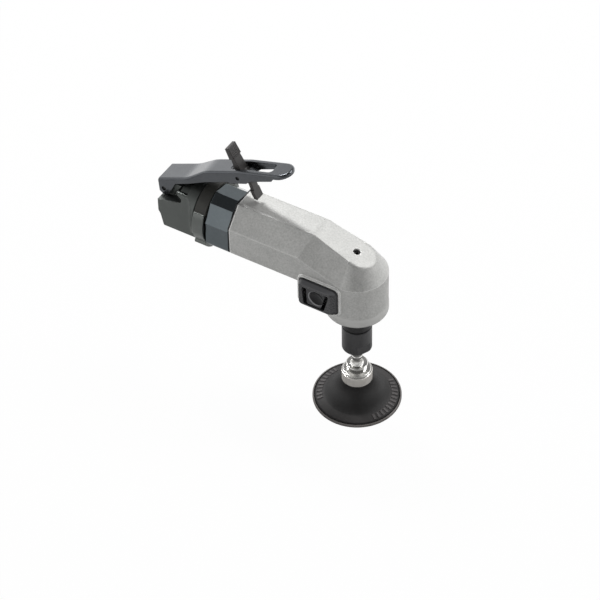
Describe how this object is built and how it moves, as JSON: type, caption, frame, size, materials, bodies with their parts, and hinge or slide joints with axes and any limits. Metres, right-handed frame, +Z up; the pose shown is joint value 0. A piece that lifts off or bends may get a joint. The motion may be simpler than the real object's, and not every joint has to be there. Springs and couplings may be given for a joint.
{
  "type": "right angle die grinder",
  "caption": "Pneumatic right angle die grinder: cast angle head, lever throttle with lock, collet, and a mandrel with a rubber pad for roll-on sanding discs.",
  "frame": {"origin": "centre of the threaded disc socket, on the pad's working face", "axes": "+Z runs up the spindle from the pad into the head, +X points out of the front of the head and the barrel runs back along -X to the air inlet, and the spindle lock button is on the -Y side"},
  "size_m": [0.1549, 0.053, 0.1605],
  "materials": {
    "cast_aluminium": "cast and vapour blasted, with bright facet edges",
    "black_paint": "glossy black enamel",
    "grey_paint": "dark grey enamel, semi gloss",
    "lever_paint": "dark grey enamel on pressed steel",
    "lock_paint": "black enamel",
    "ring_polymer": "matt moulded",
    "black_oxide": "black oxide",
    "bright_steel": "bright plated",
    "plain_steel": "ground",
    "spring_steel": "drawn wire",
    "turned_brass": "turned",
    "pad_rubber": "moulded, matt",
    "seal_rubber": "moulded",
    "black_plastic": "moulded, glossy",
    "phenolic": "machined laminate",
    "felt": "pressed felt"
  },
  "bodies": {
    "housing": {"motor_housing": "cast_aluminium", "grease_screw": "black_oxide", "collar_gasket": "seal_rubber", "grip_collar": "black_paint", "rear_housing": "grey_paint", "inlet_bushing": "plain_steel", "inlet_screen": "turned_brass", "lever_pin": "black_oxide", "valve_bush": "turned_brass", "valve_cap": "black_oxide", "valve_spring": "spring_steel", "feed_tube": "turned_brass", "exhaust_muffler": "felt", "rear_end_plate": "plain_steel", "front_end_plate": "plain_steel", "locating_pin": "plain_steel", "motor_cylinder": "plain_steel", "motor_bearing_outer": "plain_steel", "pinion_bearing_outer": "plain_steel", "pinion_spacer": "plain_steel", "spindle_bearing_outer": "plain_steel", "bearing_retainer": "black_oxide", "dust_seal": "seal_rubber", "lock_bezel": "black_plastic", "button_spring": "spring_steel"},
    "throttle_lever": {"throttle_lever": "lever_paint", "lock_pin": "black_oxide", "lock_spring": "spring_steel"},
    "lock_lever": {"lock_lever": "lock_paint"},
    "throttle_valve": {"valve_stem": "plain_steel", "valve_seal": "seal_rubber"},
    "rotor": {"rotor": "plain_steel", "rotor_vanes": "phenolic", "motor_bearing_inner": "plain_steel", "pinion_bearing_inner": "plain_steel", "bevel_pinion": "plain_steel"},
    "spindle": {"spindle": "black_oxide", "bevel_gear": "plain_steel", "gear_screw": "plain_steel", "spindle_bearing_inner": "plain_steel", "collet": "plain_steel", "collet_nut": "black_oxide", "pad_mandrel": "bright_steel", "backing_pad": "pad_rubber", "disc_insert": "turned_brass"},
    "lock_button": {"lock_button": "black_plastic", "lock_plunger": "plain_steel"},
    "exhaust_ring": {"exhaust_ring": "ring_polymer"}
  },
  "joints": [
    {"name": "spindle_spin", "type": "hinge", "parent": "housing", "child": "spindle", "pos_m": [0, 0, 0], "axis": [0, 0, 1], "continuous": true},
    {"name": "rotor_spin", "type": "hinge", "parent": "housing", "child": "rotor", "pos_m": [0, 0, 0.106], "axis": [1, 0, 0], "continuous": true},
    {"name": "throttle_lever_press", "type": "hinge", "parent": "housing", "child": "throttle_lever", "pos_m": [-0.1246, 0, 0.1144], "axis": [0, 1, 0], "range_deg": [0, 7], "stiffness_Nm_per_rad": 3, "springref_deg": -11.46},
    {"name": "lock_lever_swing", "type": "hinge", "parent": "throttle_lever", "child": "lock_lever", "pos_m": [-0.074, 0, 0.1438], "axis": [0, 1, 0], "range_deg": [-21, 0], "deforming": ["lock_spring"]},
    {"name": "throttle_valve_press", "type": "slide", "parent": "housing", "child": "throttle_valve", "axis": [0, 0, -1], "range_m": [0, 0.0026], "deforming": ["valve_spring"]},
    {"name": "lock_button_press", "type": "slide", "parent": "housing", "child": "lock_button", "axis": [0, 1, 0], "range_m": [0, 0.003], "stiffness_N_per_m": 800, "springref_m": -0.002, "deforming": ["button_spring"]},
    {"name": "exhaust_ring_turn", "type": "hinge", "parent": "housing", "child": "exhaust_ring", "pos_m": [-0.09445, 0, 0.106], "axis": [1, 0, 0], "continuous": true}
  ],
  "couplings": [
    {"joint": "rotor_spin", "follows": "spindle_spin", "ratio": -1},
    {"joint": "lock_lever_swing", "follows": "throttle_lever_press", "ratio": -3},
    {"joint": "throttle_valve_press", "follows": "throttle_lever_press", "m_per_rad": 0.0211}
  ]
}
